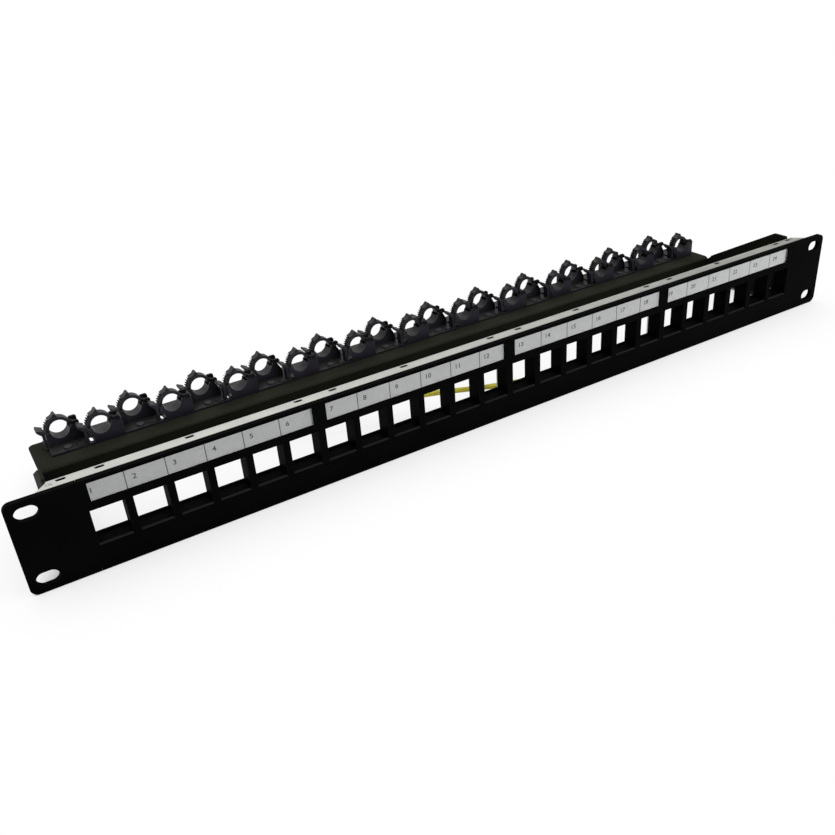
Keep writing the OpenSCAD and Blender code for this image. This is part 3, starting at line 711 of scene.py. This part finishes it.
# Thumb ribs: the thumb rests of the catch arms are thick wedges, hollow on top. The ribs are the
# wedges' lower halves, in one moulding with the arms.
THUMB_RIB = [
    (-0.0084, 0.0003), (-0.0104, 0.0018), (-0.0108, 0.0015), (-0.0099, 0.0002), (-0.0084, -0.0012),
]
THUMB_DEPTH = 0.0059
clip_detail("thumb_ribs", THUMB_RIB, THUMB_DEPTH, middles, strip_nylon)

# Hinge caps: near-black caps, much darker than the nylon, on both cheeks of each hinge, which
# guide the jaw between them. They stand beside the jaw's path and clear of its pins, so it swings
# open past them.
HINGE_CAP = [
    (0.0055, 0.0010), (0.0076, 0.0010), (0.0082, 0.0000), (0.0092, 0.0000), (0.0094, 0.0005),
    (0.0094, 0.0019), (0.0088, 0.0025), (0.0061, 0.0025), (0.0055, 0.0019),
]
CAP_WIDTH = 0.0013
CAP_SIDE = Vector((0, 0.0029, 0))
CAP_BLACK = (0.0015, 0.0015, 0.0017)
CAP_WORN = (0.004, 0.004, 0.0045)


def plain_moulding(name, colour, pale, roughness, specular, patches):
    """Moulded plastic in two close tones, with a number of patches to the metre."""
    finish, tree, shader = new_finish(name, colour, roughness, specular=specular)
    patch = spread(tree, grain(tree, scale=patches, detail=4))
    tree.links.new(mixed(tree, patch, colour, pale), shader.inputs["Base Color"])
    relief(tree, shader, grain(tree, scale=2400), depth=0.00003, strength=0.5, edge=0.0002)
    return finish


cap_plastic = plain_moulding(
    "cap_plastic", CAP_BLACK, CAP_WORN, roughness=0.5, specular=0.1, patches=500
)
cheeks = [middle + side for middle in middles for side in (-CAP_SIDE, CAP_SIDE)]
clip_detail("hinge_caps", HINGE_CAP, CAP_WIDTH, cheeks, cap_plastic)

# Push rivets: grey moulded nylon, three to a strip. They are pressed through the strip and the
# tray from above, and their legs spread below the tray.
RIVET_GREY = (0.028, 0.028, 0.031)
RIVET_PALE = (0.042, 0.042, 0.047)
rivet_nylon = plain_moulding(
    "rivet_nylon", RIVET_GREY, RIVET_PALE, roughness=0.45, specular=0.15, patches=700
)
dress(rivet_nylon, "strip_rivets")

# Stage: a white floor at the panel's lower edge with the panel's soft shadow painted on it, white
# all around it, and soft studio light from large panels.
FLOOR_HALF = 8
FLOOR_GAP = 0.0002
FLOOR_GREY = (0.85, 0.85, 0.85)
SHADOW_REACH = 0.06
SHADOW_TONE = 0.83
SHADOW_DEEP = 0.1
floor_shape = bmesh.new()
bmesh.ops.create_grid(floor_shape, x_segments=4, y_segments=4, size=FLOOR_HALF)
floor = linked_piece("floor", finished_mesh("floor", floor_shape))
floor.location.z = cad_low[2] - FLOOR_GAP


def seen_white(tree):
    """1 for the camera, for gloss and for what is seen through clear pieces, else 0."""
    rays = tree.nodes.new("ShaderNodeLightPath").outputs
    seen = worked_out(tree, "MAXIMUM", rays["Is Camera Ray"], rays["Is Glossy Ray"])
    return worked_out(tree, "MAXIMUM", seen, rays["Is Transmission Ray"])


paper = bpy.data.materials.new("white_floor")
paper.use_nodes = True
tree = paper.node_tree
tree.nodes.remove(tree.nodes["Principled BSDF"])
lit = tree.nodes.new("ShaderNodeBsdfDiffuse")
lit.inputs["Color"].default_value = (*FLOOR_GREY, 1)
# Painted shadow: the floor's glow is darkened where the panel closes it in, within a reach in
# metres.
near = tree.nodes.new("ShaderNodeAmbientOcclusion")
near.samples = 16
near.inputs["Distance"].default_value = SHADOW_REACH
wide_shadow = spread(tree, near.outputs["AO"], low=SHADOW_TONE, start=0.5, end=0.9)
deep_shadow = spread(tree, near.outputs["AO"], low=SHADOW_DEEP, start=0.3, end=0.5)
glow = tree.nodes.new("ShaderNodeEmission")
tree.links.new(worked_out(tree, "MULTIPLY", wide_shadow, deep_shadow), glow.inputs["Strength"])
shown(tree, seen_white(tree), lit.outputs["BSDF"], glow.outputs["Emission"])
floor.data.materials.append(paper)

# The white surroundings are dimmer as light than to the eye. In gloss they fade to the right, as
# in a studio that is brighter on the left.
SKY_LEVEL = 0.3
SKY_FAR_SIDE = 0.3
world = bpy.data.worlds.new("studio")
bpy.context.scene.world = world
world.use_nodes = True
tree = world.node_tree
sky = tree.nodes["Background"]
sky.inputs["Color"].default_value = (*WHITE, 1)
level = spread(tree, seen_white(tree), low=SKY_LEVEL, start=0, end=1)
toward = tree.nodes.new("ShaderNodeTexCoord")
rightward = split_up(tree, toward.outputs["Generated"])["X"]
fading = spread(tree, rightward, low=1, high=SKY_FAR_SIDE, start=0.3, end=0.8)
rays = tree.nodes.new("ShaderNodeLightPath").outputs
dim = tree.nodes.new("ShaderNodeMix")
dim.inputs["A"].default_value = 1
tree.links.new(rays["Is Glossy Ray"], dim.inputs["Factor"])
tree.links.new(fading, dim.inputs["B"])
brightness = worked_out(tree, "MULTIPLY", level, dim.outputs["Result"])
tree.links.new(brightness, sky.inputs["Strength"])

# Each lamp: its place, the width of its panel in metres, and its watts. All look at the panel.
LAMPS = {
    "key_panel": ((-0.7, -0.5, 1.1), 1.0, 5.0),
    "top_panel": ((0.1, 0.5, 1.2), 0.9, 6.0),
    "front_panel": ((0.55, -1.0, 0.6), 0.9, 13.0),
}
for name, (place, width, watts) in LAMPS.items():
    lamp_data = bpy.data.lights.new(name, "AREA")
    lamp_data.shape = "SQUARE"
    lamp_data.size = width
    lamp_data.energy = watts
    lamp = linked_piece(name, lamp_data)
    lamp.location = place
    lamp.rotation_euler = (-Vector(place)).to_track_quat("-Z", "Y").to_euler()

bpy.context.scene.view_settings.view_transform = "Standard"
